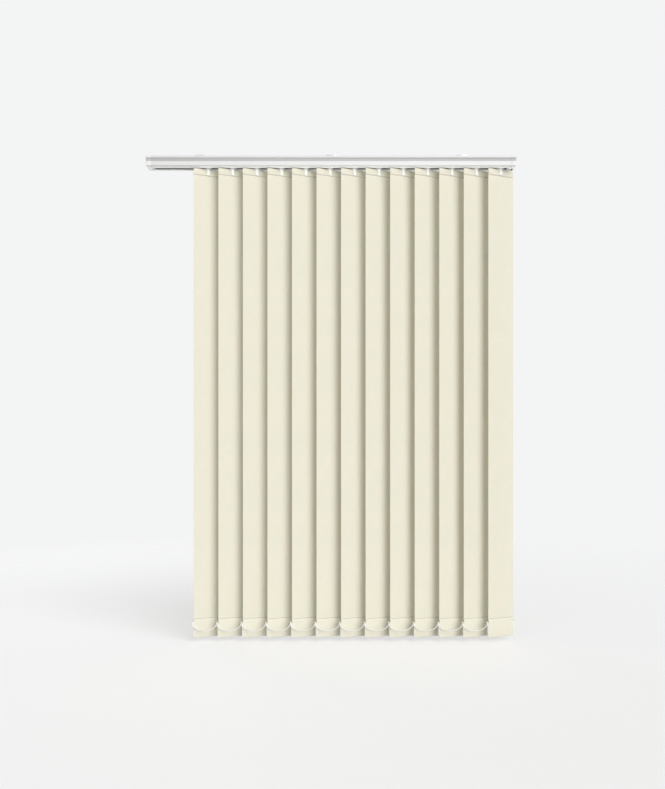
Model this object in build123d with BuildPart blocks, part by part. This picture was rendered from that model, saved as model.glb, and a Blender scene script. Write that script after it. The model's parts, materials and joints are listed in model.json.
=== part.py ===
from build123d import *
import os
from math import ceil, cos, pi, radians, sin

# Vertical blind with thirteen fabric vanes, drawn out to its full pitch.
# Millimetres. X runs along the headrail, Y goes away from the viewer, Z is up.
# The origin is on the ceiling face of the middle bracket, and everything hangs below it.

# Vanes: their number, cut width, hung length, and how they stand along the rail
vane_count = 13
vane_width = 89.0
vane_length = 1436.0
vane_pitch = 75.0
vane_angle = 21.0
stack_pitch = 20.0
end_margin = 44.0
fabric = 0.5
pocket_slope = 4.0
pocket_fit = 0.15
top_pocket = 19.5
bottom_pocket = 57.0

# Headrail: an extruded channel, open along its underside
rail_length = 1132.0
rail_depth = 40.0
rail_height = 33.0
rail_wall = 1.4
strip_height = 6.0
groove_height = 10.0
groove_depth = 2.5
bead_slope = 1.5
bead_round = 5.0
line_drop = 23.0
line_depth = 0.5
slot_width = 13.2
lip_wall = 1.2
lip_width = 5.5
lip_channel = 2.5

# Brackets: spring clips screwed to the ceiling
bracket_spacing = 400.0
bracket_width = 30.0
bracket_plate = 1.5
bracket_drop = 4.5
bracket_leg = 1.2
bracket_toe = 1.2
toe_reach = 2.4
screw_hole = 4.5
screw_spacing = 18.0
clip_gap = 0.3

# End caps
cap_length = 16.0
cap_round = 8.0
cap_plug = 8.0
cap_fit = 0.2
cap_end_wall = 6.0
cap_inner_wall = 2.5
bearing_depth = 5.0

# Tilt rod, hexagonal, and the wheel that the operating chain would turn
rod_diameter = 6.0
rod_side = 7.0
rod_drop = 13.5
rod_sides = 6
running_gap = 0.1
wheel_diameter = 15.0
wheel_width = 6.0
wheel_sides = 12
wheel_groove = 1.4
wheel_rim = 1.2
wheel_gap = 1.0

# Carriers that slide inside the rail, with their feet and spacer strips
carrier_gap = 0.4
carrier_side_gap = 0.6
carrier_top_gap = 1.0
carrier_waist = 21.0
carrier_shoulder = 13.0
carrier_floor_gap = 1.0
rod_window = 6.6
foot_width = 29.0
foot_height = 6.0
foot_gap = 0.3
socket_roof = 18.6
gear_width = 9.6
gear_sides = 6
gear_height = 2.0
gear_gap = 0.5
strip_side = 7.0
strip_width = 6.0
strip_thickness = 0.4
strip_lane = 0.9
strip_drop = 10.4
strip_gap = 0.3
strip_overlap = 3.0
strip_anchor_length = 8.0
strip_anchor_bite = 1.0

# Hangers: the stem under each carrier, the yoke with its two prongs, and the plate in the top pocket
stem_diameter = 8.0
socket_sides = 12
yoke_width = 12.9
yoke_gap = 0.6
yoke_height = 1.8
vane_drop = 3.0
prong_width = 7.5
prong_thickness = 1.6
prong_gap = 0.25
prong_length = 18.0
prong_shoulder = 5.0
insert_width = 84.0
insert_height = 15.5
insert_thickness = 1.2
insert_gap = 0.5
peg_width = 4.4
peg_height = 3.0
peg_drop = 9.0
peg_gap = 0.3

# Weights in the bottom pockets, with a lug at each upper corner for the linking chains
weight_height = 45.6
weight_thickness = 2.4
weight_gap = 0.5
rim_width = 2.2
rim_thickness = 3.2
rim_gap = 0.3
lug_arm = 3.2
lug_arm_height = 2.0
lug_post = 1.6
lug_post_height = 3.6

# Linking chains: a clip over each lug, and a swag from each vane to the next
clip_width = 5.2
clip_thickness = 1.6
clip_hole = 2.4
clip_seat_gap = 0.3
clip_back = 2.0
chain_thickness = 2.6
chain_side = 4.5
chain_sag = 24.0
swag_runs = 5

# Heights and places that follow from the sizes above
rail_top = -bracket_drop
rail_bottom = rail_top - rail_height
rail_start = -rail_length / 2 + cap_length
rail_end = rail_length / 2 - cap_length
channel_floor = lip_wall + lip_channel
roof = channel_floor + rail_wall
track = rail_height - rail_wall
outer_half = rail_depth / 2
neck_half = outer_half - groove_depth
bead_top = strip_height + groove_height
rod_z = rail_top - rod_drop
rod_radius = rod_diameter / 2
bore_radius = rod_radius + running_gap
vane_top = rail_bottom - vane_drop
vane_bottom = vane_top - vane_length
last_vane = rail_length / 2 - end_margin
vane_places = [last_vane - vane_pitch * (vane_count - 1 - i) for i in range(vane_count)]
vane_turn = radians(vane_angle)
across = Vector(cos(vane_turn), sin(vane_turn), 0)
facing = Vector(sin(vane_turn), -cos(vane_turn), 0)
lug_reach = vane_width / 2 + rim_gap + rim_width + lug_arm - lug_post / 2
lug_z = vane_bottom + weight_gap + weight_height


def section_plane(x):
    """A plane across the rail at x: its own x is Y, and its own y is the height from the rail's top."""
    return Plane(origin=(x, 0, rail_top), x_dir=(0, 1, 0), z_dir=(1, 0, 0))


def face_plane(x, forward=0.0):
    """A plane parallel to the vane hung at x, so far forward of its middle."""
    return Plane(origin=Vector(x, 0, 0) + facing * forward, x_dir=across, z_dir=facing)


def edge_plane(x, along):
    """A plane square to the vane hung at x, so far along its width from its middle."""
    return Plane(origin=Vector(x, 0, 0) + across * along, x_dir=-facing, z_dir=across)


def both_sides(half):
    """The closed outline of half a section, given as points from one end to the other, and its mirror image."""
    return half + [(-y, z) for y, z in reversed(half)]


def export(name, part):
    part.label = name
    export_step(part, f"parts/{name}.step")


# Half outlines of the rail and its hollow, with heights counted down from the rail's top
rail_outline = both_sides([
    (outer_half, 0),
    (outer_half, -strip_height),
    (neck_half, -strip_height),
    (neck_half, -bead_top),
    (outer_half, -bead_top - bead_slope),
    (outer_half, -rail_height),
])
rail_hollow = both_sides([
    (neck_half - rail_wall, -roof),
    (neck_half - rail_wall, -bead_top - rail_wall / 2),
    (outer_half - rail_wall, -bead_top - bead_slope - rail_wall / 2),
    (outer_half - rail_wall, -track),
])
lip_outline = both_sides([
    (outer_half - lip_width, 0),
    (outer_half - lip_width, -lip_wall),
    (outer_half - rail_wall, -lip_wall),
    (outer_half - rail_wall, -channel_floor),
])


def outer_section():
    """Draws the rail's outside in the sketch that is open: strip, groove and rounded bead."""
    Polygon(*rail_outline, align=None)
    fillet(vertices().group_by(Axis.Y)[0], bead_round)
    for side in (-1, 1):
        with Locations((side * outer_half, -line_drop)):
            Rectangle(2 * line_depth, 2 * line_depth, rotation=45, mode=Mode.SUBTRACT)


os.makedirs("parts", exist_ok=True)

with BuildSketch() as hollow_section:
    Polygon(*rail_hollow, align=None)
    fillet(vertices().group_by(Axis.Y)[0], bead_round - rail_wall)

with BuildPart() as headrail:
    with BuildSketch(section_plane(rail_start)):
        outer_section()
        add(hollow_section.sketch, mode=Mode.SUBTRACT)
        Polygon(*lip_outline, align=None, mode=Mode.SUBTRACT)
        with Locations((0, -rail_height)):
            Rectangle(slot_width, 3 * rail_wall, mode=Mode.SUBTRACT)
    extrude(amount=rail_end - rail_start)
export("headrail", headrail.part)


# Brackets: a plate on the ceiling and two legs whose toes reach under the rail's lips
leg_outer = outer_half - lip_width - clip_gap
toe_top = bracket_drop + lip_wall + clip_gap
with BuildPart() as mounting_brackets:
    for place in (-bracket_spacing, 0, bracket_spacing):
        with BuildSketch(Plane.YZ.offset(place - bracket_width / 2)):
            with Locations((0, -bracket_plate / 2)):
                Rectangle(2 * leg_outer, bracket_plate)
            for side in (-1, 1):
                with Locations((side * (leg_outer - bracket_leg / 2), -(toe_top + bracket_toe) / 2)):
                    Rectangle(bracket_leg, toe_top + bracket_toe)
                with Locations((side * (leg_outer + toe_reach / 2 - bracket_leg / 2), -toe_top - bracket_toe / 2)):
                    Rectangle(toe_reach + bracket_leg, bracket_toe)
        extrude(amount=bracket_width)
        with BuildSketch(Plane.XY.offset(-bracket_plate)):
            with Locations((place, 0)):
                with GridLocations(0, screw_spacing, 1, 2):
                    Circle(screw_hole / 2)
        extrude(amount=bracket_plate, mode=Mode.SUBTRACT)
export("mounting_brackets", mounting_brackets.part)


def cap_body(inner_face, outward):
    """A cap's outer block, with its lower outer corner rounded, and the tongue that plugs into the rail."""
    outer_face = inner_face + outward * cap_length
    with BuildPart() as cap:
        with BuildSketch(section_plane(min(inner_face, outer_face))):
            outer_section()
        extrude(amount=cap_length)
        with BuildSketch(Plane.XZ):
            with Locations(((inner_face + outer_face) / 2, (rail_top + rail_bottom) / 2)):
                Rectangle(cap_length, rail_height)
            corners = vertices().group_by(Axis.Y)[0].sort_by(Axis.X)
            fillet(corners[-1] if outward > 0 else corners[0], cap_round)
        extrude(amount=rail_depth, both=True, mode=Mode.INTERSECT)
        with BuildSketch(section_plane(inner_face - (cap_plug if outward > 0 else 0))):
            Polygon(*rail_hollow, align=None)
            chamfer(vertices().group_by(Axis.Y)[0], bead_round - rail_wall)
            offset(amount=-cap_fit, kind=Kind.INTERSECTION, mode=Mode.REPLACE)
        extrude(amount=cap_plug)
    return cap.part


with BuildPart() as plain_end_cap:
    add(cap_body(rail_start, -1))
    with BuildSketch(Plane.YZ.offset(rail_start - bearing_depth)):
        with Locations((rod_side, rod_z)):
            Circle(bore_radius)
    extrude(amount=bearing_depth + cap_plug, mode=Mode.SUBTRACT)
export("plain_end_cap", plain_end_cap.part)

# The control cap has a chamber for the wheel, open below for the operating chain
chamber_start = rail_end + cap_inner_wall
chamber_length = cap_length - cap_inner_wall - cap_end_wall
chamber_half = wheel_diameter / 2 + wheel_gap
with BuildPart() as control_end_cap:
    add(cap_body(rail_end, 1))
    with BuildSketch(Plane.YZ.offset(chamber_start)):
        with Locations((rod_side, (rod_z + chamber_half + rail_bottom) / 2)):
            Rectangle(2 * chamber_half, rod_z + chamber_half - rail_bottom)
    extrude(amount=chamber_length, mode=Mode.SUBTRACT)
    with BuildSketch(Plane.YZ.offset(rail_end - cap_plug)):
        with Locations((rod_side, rod_z)):
            Circle(bore_radius)
    extrude(amount=cap_plug + cap_length - cap_end_wall + bearing_depth, mode=Mode.SUBTRACT)
export("control_end_cap", control_end_cap.part)


# Tilt rod along the whole rail, and the wheel on its right end, with a groove between two rims
rod_start = rail_start - bearing_depth + clip_gap
rod_end = rail_end + cap_length - cap_end_wall + bearing_depth - clip_gap
with BuildPart() as tilt_rod:
    with BuildSketch(Plane.YZ.offset(rod_start)):
        with Locations((rod_side, rod_z)):
            RegularPolygon(rod_radius, rod_sides)
    extrude(amount=rod_end - rod_start)
export("tilt_rod", tilt_rod.part)

wheel_start = chamber_start + (chamber_length - wheel_width) / 2
wheel_radius = wheel_diameter / 2
with BuildPart() as chain_wheel:
    for start, width, radius in (
        (0, wheel_width, wheel_radius - wheel_groove),
        (0, wheel_rim, wheel_radius),
        (wheel_width - wheel_rim, wheel_rim, wheel_radius),
    ):
        with BuildSketch(Plane.YZ.offset(wheel_start + start)):
            with Locations((rod_side, rod_z)):
                RegularPolygon(radius, wheel_sides)
                RegularPolygon(bore_radius, rod_sides, mode=Mode.SUBTRACT)
        extrude(amount=width)
export("chain_wheel", chain_wheel.part)


# Carriers: a shouldered block that stands on the track on its feet, with the rod's passage,
# the socket and gear chamber for the hanger, and a window for the spacer strips
carrier_length = stack_pitch - carrier_gap
carrier_half = neck_half - rail_wall - carrier_side_gap
carrier_top = rail_top - roof - carrier_top_gap
carrier_bottom = rail_top - track + carrier_floor_gap
shoulder_z = carrier_top - carrier_shoulder
foot_bottom = rail_top - track + foot_gap
socket_top = rail_top - socket_roof
socket_radius = (stem_diameter / 2 + running_gap) / cos(pi / socket_sides)
chamber_height = gear_height + 2 * gear_gap
gear_top = socket_top - gear_gap
strip_length = vane_pitch + carrier_length / 2 + strip_overlap
strip_lanes = ceil(strip_length / stack_pitch) + 1
window_height = (strip_lanes - 1) * strip_lane + strip_thickness + 2 * strip_gap
window_top = rail_top - strip_drop
window_width = strip_width + 2 * strip_gap


def make_carrier(index):
    """Carrier of the vane at this index, with the strip that spaces it from the one to its left."""
    x = vane_places[index]
    with BuildPart() as carrier:
        with BuildSketch(Plane.YZ.offset(x - carrier_length / 2)):
            with Locations((0, (carrier_top + shoulder_z) / 2)):
                Rectangle(2 * carrier_half, carrier_shoulder)
            with Locations((0, (shoulder_z + carrier_bottom) / 2)):
                Rectangle(carrier_waist, shoulder_z - carrier_bottom)
            with Locations((0, foot_bottom + foot_height / 2)):
                Rectangle(foot_width, foot_height)
            with Locations((0, foot_bottom)):
                Rectangle(carrier_waist, 2 * (carrier_bottom - foot_bottom), mode=Mode.SUBTRACT)
            with Locations((rod_side, rod_z)):
                Rectangle(rod_window, rod_window, mode=Mode.SUBTRACT)
            with Locations((-strip_side, window_top - window_height / 2)):
                Rectangle(window_width, window_height, mode=Mode.SUBTRACT)
        extrude(amount=carrier_length)
        with BuildSketch(Plane.XY.offset(carrier_bottom)):
            with Locations((x, 0)):
                RegularPolygon(socket_radius, socket_sides)
        extrude(amount=socket_top - carrier_bottom, mode=Mode.SUBTRACT)
        with BuildSketch(Plane.XY.offset(socket_top - chamber_height)):
            with Locations((x, 0)):
                Rectangle(gear_width + 2 * gear_gap, gear_width + 2 * gear_gap)
        extrude(amount=chamber_height, mode=Mode.SUBTRACT)
        if index > 0:
            lane = window_top - strip_gap - (index % strip_lanes) * strip_lane - strip_thickness
            with BuildSketch(Plane.XY.offset(lane)):
                with Locations((x - strip_length / 2, -strip_side)):
                    Rectangle(strip_length, strip_width)
                with Locations((x, -strip_side)):
                    Rectangle(strip_anchor_length, window_width + 2 * strip_anchor_bite)
            extrude(amount=strip_thickness)
    return carrier.part


# Hangers: gear, stem and yoke, two prongs astride the vane, and the plate inside its top pocket
insert_top = vane_top - fabric - insert_gap
pocket_half = insert_thickness / 2 + pocket_fit
fabric_half = pocket_half + fabric
prong_inner = fabric_half + prong_gap
yoke_depth = 2 * (prong_inner + prong_thickness)
prong_top = rail_bottom - yoke_gap - yoke_height
prong_bottom = vane_top - prong_length
peg_z = vane_top - peg_drop
prong_outline = both_sides([
    (yoke_width / 2, prong_top),
    (prong_width / 2, vane_top - prong_shoulder),
    (prong_width / 2, prong_bottom),
])


def make_hanger(x):
    with BuildPart() as hanger:
        with BuildSketch(Plane.XY.offset(gear_top - gear_height)):
            with Locations((x, 0)):
                RegularPolygon(gear_width / 2, gear_sides)
        extrude(amount=gear_height)
        with BuildSketch(Plane.XY.offset(prong_top)):
            with Locations((x, 0)):
                Circle(stem_diameter / 2)
        extrude(amount=gear_top - prong_top - gear_height)
        with BuildSketch(face_plane(x, -yoke_depth / 2)):
            with Locations((0, prong_top + yoke_height / 2)):
                Rectangle(yoke_width, yoke_height)
        extrude(amount=yoke_depth)
        for forward in (prong_inner, -prong_inner - prong_thickness):
            with BuildSketch(face_plane(x, forward)):
                Polygon(*prong_outline, align=None)
            extrude(amount=prong_thickness)
        with BuildSketch(face_plane(x, -insert_thickness / 2)):
            with Locations((0, insert_top - insert_height / 2)):
                Rectangle(insert_width, insert_height)
        extrude(amount=insert_thickness)
        with BuildSketch(face_plane(x, peg_gap - prong_inner)):
            with Locations((0, peg_z)):
                Rectangle(peg_width, peg_height)
        extrude(amount=2 * prong_inner - peg_gap)
    return hanger.part


# Vanes: one strip of fabric, folded and welded into a pocket at each end
weight_half = weight_thickness / 2 + pocket_fit
top_weld = vane_top - top_pocket
bottom_weld = vane_bottom + bottom_pocket
vane_outline = both_sides([
    (weight_half + fabric, vane_bottom),
    (weight_half + fabric, bottom_weld - pocket_slope),
    (fabric, bottom_weld),
    (fabric / 2, bottom_weld),
    (fabric / 2, top_weld),
    (fabric, top_weld),
    (fabric_half, insert_top - insert_height),
    (fabric_half, vane_top),
])
weight_pocket = both_sides([
    (weight_half, vane_bottom + fabric),
    (weight_half, bottom_weld - pocket_slope - fabric),
])
insert_pocket = both_sides([
    (pocket_half, insert_top - insert_height - fabric),
    (pocket_half, vane_top - fabric),
])


def make_vane(x):
    with BuildPart() as vane:
        with BuildSketch(edge_plane(x, -vane_width / 2)):
            Polygon(*vane_outline, align=None)
            Polygon(*weight_pocket, align=None, mode=Mode.SUBTRACT)
            Polygon(*insert_pocket, align=None, mode=Mode.SUBTRACT)
        extrude(amount=vane_width)
        with BuildSketch(face_plane(x, -prong_inner)):
            with Locations((0, peg_z)):
                Rectangle(peg_width + 2 * peg_gap, peg_height + 2 * peg_gap)
        extrude(amount=2 * prong_inner, mode=Mode.SUBTRACT)
    return vane.part


# Weights: a plate with a rim down each open side of the pocket, and a lug at each upper corner
rim_inner = vane_width / 2 + rim_gap
rim_outer = rim_inner + rim_width


def make_weight(x):
    with BuildPart() as weight:
        with BuildSketch(face_plane(x, -weight_thickness / 2)):
            with Locations((0, lug_z - weight_height / 2)):
                Rectangle(2 * rim_outer, weight_height - 2 * fabric)
        extrude(amount=weight_thickness)
        with BuildSketch(face_plane(x, -rim_thickness / 2)):
            for side in (-1, 1):
                with Locations((side * (rim_inner + rim_width / 2), lug_z - weight_height / 2)):
                    Rectangle(rim_width, weight_height)
        extrude(amount=rim_thickness)
        with BuildSketch(face_plane(x, -lug_post / 2)):
            for side in (-1, 1):
                with Locations((side * (rim_outer + lug_arm / 2), lug_z - lug_arm_height / 2)):
                    Rectangle(lug_arm, lug_arm_height)
                with Locations((side * lug_reach, lug_z + lug_post_height / 2)):
                    Rectangle(lug_post, lug_post_height)
        extrude(amount=lug_post)
    return weight.part


# Linking chains: they hang in a plane just outside the vanes' edges
clip_bottom = lug_z + clip_seat_gap
swag_z = clip_bottom + clip_thickness / 2
half_span = vane_pitch / 2
chain_half = chain_thickness / 2


def swag_line(inset):
    """Points of half an ellipse that sags between two clips, so far inside its outer line."""
    turns = [pi * i / swag_runs for i in range(swag_runs + 1)]
    return [(-(half_span - inset) * cos(t), -(chain_sag - inset) * sin(t)) for t in turns]


swag_outline = swag_line(0) + swag_line(chain_thickness)[::-1]


def make_chain(side):
    """The front chain for side -1 and the rear one for side 1."""
    lug = across * (side * lug_reach)
    clips = [(x + lug.X, lug.Y) for x in vane_places]
    clip_length = clip_back + chain_side + chain_half
    with BuildPart() as chain:
        with BuildSketch(Plane.XY.offset(clip_bottom)):
            for x, y in clips:
                with Locations((x, y + side * (clip_length / 2 - clip_back))):
                    Rectangle(clip_width, clip_length)
                with Locations((x, y)):
                    Rectangle(clip_hole, clip_hole, mode=Mode.SUBTRACT)
        extrude(amount=clip_thickness)
        with BuildSketch(Plane.XZ.offset(-lug.Y - side * chain_side - chain_half)):
            for x, _ in clips[:-1]:
                with Locations((x + half_span, swag_z)):
                    Polygon(*swag_outline, align=None)
        extrude(amount=chain_thickness)
    return chain.part


for number, place in enumerate(vane_places, start=1):
    export(f"carrier_{number:02d}", make_carrier(number - 1))
    export(f"hanger_{number:02d}", make_hanger(place))
    export(f"vane_{number:02d}", make_vane(place))
    export(f"weight_{number:02d}", make_weight(place))
export("front_chain", make_chain(-1))
export("rear_chain", make_chain(1))
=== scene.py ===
import bmesh
import bpy
import json
from math import cos, pi, radians, sin
from mathutils import Matrix, Vector

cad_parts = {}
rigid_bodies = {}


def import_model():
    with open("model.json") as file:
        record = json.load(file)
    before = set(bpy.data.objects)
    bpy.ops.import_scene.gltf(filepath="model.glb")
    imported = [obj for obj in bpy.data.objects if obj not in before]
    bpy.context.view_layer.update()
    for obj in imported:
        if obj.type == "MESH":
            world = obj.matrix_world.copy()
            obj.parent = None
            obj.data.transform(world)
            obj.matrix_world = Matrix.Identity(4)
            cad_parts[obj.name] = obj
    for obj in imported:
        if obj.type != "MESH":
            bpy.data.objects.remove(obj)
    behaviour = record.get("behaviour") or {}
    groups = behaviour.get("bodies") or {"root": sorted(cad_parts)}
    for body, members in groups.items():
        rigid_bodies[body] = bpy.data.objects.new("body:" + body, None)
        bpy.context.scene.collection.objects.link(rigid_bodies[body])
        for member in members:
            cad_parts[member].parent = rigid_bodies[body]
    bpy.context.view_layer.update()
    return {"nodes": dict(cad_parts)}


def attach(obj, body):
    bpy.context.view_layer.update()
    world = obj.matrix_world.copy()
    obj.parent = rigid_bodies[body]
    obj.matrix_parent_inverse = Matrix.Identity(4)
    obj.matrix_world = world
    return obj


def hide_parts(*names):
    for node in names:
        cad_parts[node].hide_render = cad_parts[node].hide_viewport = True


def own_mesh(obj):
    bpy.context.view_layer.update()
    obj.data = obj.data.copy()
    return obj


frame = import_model()

bl_info = {
    "name": "Vertical blind",
    "version": (1, 0, 0),
    "blender": (4, 5, 0),
    "location": "View3D > Sidebar > Blind",
    "description": "Dresses a packed vertical blind with woven vanes, bead chains and a soft stage",
    "category": "Object",
}

MM = 0.001

# The blind, as the CAD model has it. Heights start at the ceiling and go down, so they are negative
VANE_COUNT = 13
VANE_PITCH = 75 * MM
VANE_TURN = radians(21)
VANE_WIDTH = 89 * MM
LAST_VANE = 522 * MM
PLACES = [LAST_VANE - VANE_PITCH * (VANE_COUNT - 1 - i) for i in range(VANE_COUNT)]
NUMBERS = [f"{i:02d}" for i in range(1, VANE_COUNT + 1)]
VANE_TOP = -40.5 * MM
VANE_BOTTOM = -1476.5 * MM
TOP_SEAM = VANE_TOP - 19.5 * MM
HEM_SEAM = VANE_BOTTOM + 57 * MM
LUG_Z = -1430.4 * MM
LUG_REACH = 49.4 * MM
LUG = (LUG_REACH * cos(VANE_TURN), LUG_REACH * sin(VANE_TURN))  # the rear lug, from its vane's middle

# The linking chains and their clips: a ring on a lug's post, and an arm from the ring to the chain
CLIP_Z = LUG_Z + 0.3 * MM
CLIP_RING = 2.5 * MM
CLIP_HOLE = 1.35 * MM
CLIP_THICKNESS = 1.6 * MM
CLIP_SIDES = 16
CLIP_ROUND = 0.2 * MM
ARM_GAP = 0.05 * MM
ARM_WIDTH = 3.0 * MM
ARM_HEIGHT = 1.3 * MM
ARM_END = 1.3 * MM
CHAIN_REACH = 4.5 * MM
CHAIN_SAG = 24 * MM
CHAIN_LINE = 1.9 * MM
BEAD_DIAMETER = 3.4 * MM
BEADS_PER_SWAG = 22

# The cloth's folds, the holes for the hangers' pegs, and the painted shade line at a seam
FOLD_HALF = 1.0 * MM
HEM_HALF = 1.6 * MM
HEM_CORNER = 0.9 * MM
FOLD_INSET = 0.25 * MM
PEG_Z = VANE_TOP - 9 * MM
PEG_HALF = (2.5 * MM, 1.8 * MM)
SEAM_HALF = 0.7 * MM
FRAYED_EDGE = 0.9 * MM

# A vane is flat at its seams, and cups and ripples in full from some way off them
CUP_DEPTH = -1.2 * MM
RIPPLE_DEPTH = 0.7 * MM
RIPPLE_SCALE = (9.0, 3.2)
SEED_STEP = 1.7
FLAT_NEAR_SEAM = 10 * MM
FREE_FROM_SEAM = 160 * MM

# The seams' stitches, in a row on each face of the cloth
STITCH_LENGTH = 2.8 * MM
STITCH_GAP = 0.5 * MM
STITCH_ROW = 86 * MM
STITCH_DEPTHS = (-0.27 * MM, 0.77 * MM)
THREAD = 0.4 * MM

# Bands of painted shade on the rail, lightest on its upper strip, deepest in its groove, and a painted shadow
# line along its lower edge: the height of the middle, the half height and the share of painted shade
PAINTED_SHADE_BANDS = ((-7.5 * MM, 2.4 * MM, 0.2), (-15.5 * MM, 4.9 * MM, 0.9), (-35.2 * MM, 1.6 * MM, 0.7))
BAND_FADE = 0.6 * MM
PAINTED_SHADE_SHARE = 0.6

# Metals, rounding of CAD edges, and the stage
ZINC = (0.55, 0.55, 0.54)
ALUMINIUM = (0.62, 0.62, 0.63)
DOUBLES = 0.002 * MM
FLAT_ANGLE = radians(1)
FLOOR_Z = VANE_BOTTOM - 14 * MM
FLOOR_RADIUS = 4.0
FLOOR_FADE = (0.7, 3.2)
FLOOR_LIFT = 0.42
BACKDROP = (0.9, 0.905, 0.91)
AIM = Vector((0, 0, -0.75))
KEY_PLACE = (3.15, -3.8, 1.6)
FILL_PLACE = (-2.6, -3.4, 1.6)
REAR_PLACE = (-1.9, 2.6, 0.2)
BOUNCE_PLACE = Vector((0, -0.3, VANE_BOTTOM + 2 * MM))
CAMERA_PLACE = (0, -2.3, -0.909)


# Helpers for meshes

def place_in_scene(obj):
    bpy.context.scene.collection.objects.link(obj)
    return obj


def new_mesh_object(name, bm):
    mesh = bpy.data.meshes.new(name)
    bm.to_mesh(mesh)
    bm.free()
    return place_in_scene(bpy.data.objects.new(name, mesh))


def plain_mesh(obj, name, material):
    """A plain mesh object from the evaluated obj, which is then removed."""
    depsgraph = bpy.context.evaluated_depsgraph_get()
    mesh = bpy.data.meshes.new_from_object(obj.evaluated_get(depsgraph), depsgraph=depsgraph)
    bpy.data.objects.remove(obj)
    mesh.name = name
    if not mesh.materials:
        mesh.materials.append(material)
    return place_in_scene(bpy.data.objects.new(name, mesh))


def smooth(mesh, angle=35):
    mesh.shade_smooth()
    mesh.set_sharp_from_angle(angle=radians(angle))


def softened_copy(node, name, material, width, segments=2, angle=40):
    """A copy of a CAD node with its doubles merged and its edges rounded, which stands for the node."""
    bm = bmesh.new()
    bm.from_mesh(frame["nodes"][node].data)
    bmesh.ops.remove_doubles(bm, verts=bm.verts, dist=DOUBLES)
    bmesh.ops.dissolve_limit(bm, angle_limit=FLAT_ANGLE, verts=bm.verts, edges=bm.edges)
    edges = [e for e in bm.edges if e.is_manifold and e.calc_face_angle(0) > radians(angle)]
    bmesh.ops.bevel(bm, geom=edges, offset=width, segments=segments, profile=0.5, affect="EDGES",
                    clamp_overlap=True)
    bmesh.ops.triangulate(bm, faces=[f for f in bm.faces if len(f.verts) > 4])
    piece = new_mesh_object(name, bm)
    smooth(piece.data)
    piece.data.materials.append(material)
    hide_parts(node)
    return piece


# Helpers for materials

class Finish:
    """A procedural material, built up on one Principled shader."""

    def __init__(self, name, colour, roughness, metallic=0.0, **sockets):
        self.material = bpy.data.materials.new(name)
        self.material.use_nodes = True
        self.nodes = self.material.node_tree.nodes
        self.links = self.material.node_tree.links
        self.shader = self.nodes["Principled BSDF"]
        self.colour = colour
        self.shader.inputs["Base Color"].default_value = (*colour, 1)
        self.shader.inputs["Roughness"].default_value = roughness
        self.shader.inputs["Metallic"].default_value = metallic
        for socket, value in sockets.items():
            self.shader.inputs[socket.replace("_", " ")].default_value = value
        self.bump = None

    def coordinates(self, scale, source="Object"):
        texture = self.nodes.get("Texture Coordinate") or self.nodes.new("ShaderNodeTexCoord")
        mapping = self.nodes.new("ShaderNodeMapping")
        mapping.inputs["Scale"].default_value = scale
        self.links.new(texture.outputs[source], mapping.inputs["Vector"])
        return mapping.outputs["Vector"]

    def noise(self, scale, source="Object", detail=2.0, roughness=0.5):
        noise = self.nodes.new("ShaderNodeTexNoise")
        noise.inputs["Scale"].default_value = 1.0
        noise.inputs["Detail"].default_value = detail
        noise.inputs["Roughness"].default_value = roughness
        self.links.new(self.coordinates(scale, source), noise.inputs["Vector"])
        return noise.outputs["Fac"]

    def map_range(self, value, low, high, new_low, new_high):
        node = self.nodes.new("ShaderNodeMapRange")
        for name, limit in zip(("From Min", "From Max", "To Min", "To Max"), (low, high, new_low, new_high)):
            node.inputs[name].default_value = limit
        self.links.new(value, node.inputs["Value"])
        return node.outputs["Result"]

    def math(self, operation, a, b):
        node = self.nodes.new("ShaderNodeMath")
        node.operation = operation
        for socket, value in zip(node.inputs, (a, b)):
            if isinstance(value, (int, float)):
                socket.default_value = value
            else:
                self.links.new(value, socket)
        return node.outputs[0]

    def tint(self, factor, colour):
        """Mixes the base colour towards another colour by a factor socket."""
        mix = self.nodes.new("ShaderNodeMix")
        mix.data_type = "RGBA"
        base = self.shader.inputs["Base Color"]
        if base.links:
            self.links.new(base.links[0].from_socket, mix.inputs[6])
        else:
            mix.inputs[6].default_value = base.default_value
        mix.inputs[7].default_value = (*colour, 1)
        self.links.new(factor, mix.inputs[0])
        self.links.new(mix.outputs[2], base)

    def shade(self, value, low, high, most, share):
        """Darkens the base colour to a share of itself: not at the value low, and by most at high."""
        self.tint(self.map_range(value, low, high, 0, most), [c * share for c in self.colour])

    def paint_shade_bands(self):
        """Paints shade onto the rail's upper strip, into its groove and as a shadow line along its lower
        edge.
        """
        split = self.nodes.new("ShaderNodeSeparateXYZ")
        self.links.new(self.coordinates((1, 1, 1)), split.inputs[0])
        for height, reach, share in PAINTED_SHADE_BANDS:
            away = self.math("ABSOLUTE", self.math("SUBTRACT", split.outputs["Z"], height), 0)
            painted_band_shade = self.map_range(away, reach, reach + BAND_FADE, share, 0)
            self.tint(painted_band_shade, [c * PAINTED_SHADE_SHARE for c in self.colour])

    def vary_roughness(self, value, low, high):
        self.links.new(self.map_range(value, 0, 1, low, high), self.shader.inputs["Roughness"])

    def add_bump(self, height, strength, distance):
        bump = self.nodes.new("ShaderNodeBump")
        bump.inputs["Strength"].default_value = strength
        bump.inputs["Distance"].default_value = distance
        self.links.new(height, bump.inputs["Height"])
        if self.bump:
            self.links.new(self.bump, bump.inputs["Normal"])
        self.bump = bump.outputs["Normal"]
        self.links.new(self.bump, self.shader.inputs["Normal"])


def coated_metal(name, colour):
    """Powder-coated metal: a satin skin with a very fine orange peel, faint handling marks and bands of
    painted shade.
    """
    finish = Finish(name, colour, 0.55, Specular_IOR_Level=0.35)
    cloudy = finish.noise((14, 40, 40), detail=4)
    finish.shade(cloudy, 0.45, 0.75, 0.35, 0.95)
    # Painted shade in bands: on the upper strip, in the groove and as a shadow line along the lower edge
    finish.paint_shade_bands()
    finish.vary_roughness(cloudy, 0.48, 0.62)
    finish.add_bump(finish.noise((1500, 1500, 1500)), 0.12, 0.00006)
    return finish.material


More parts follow.
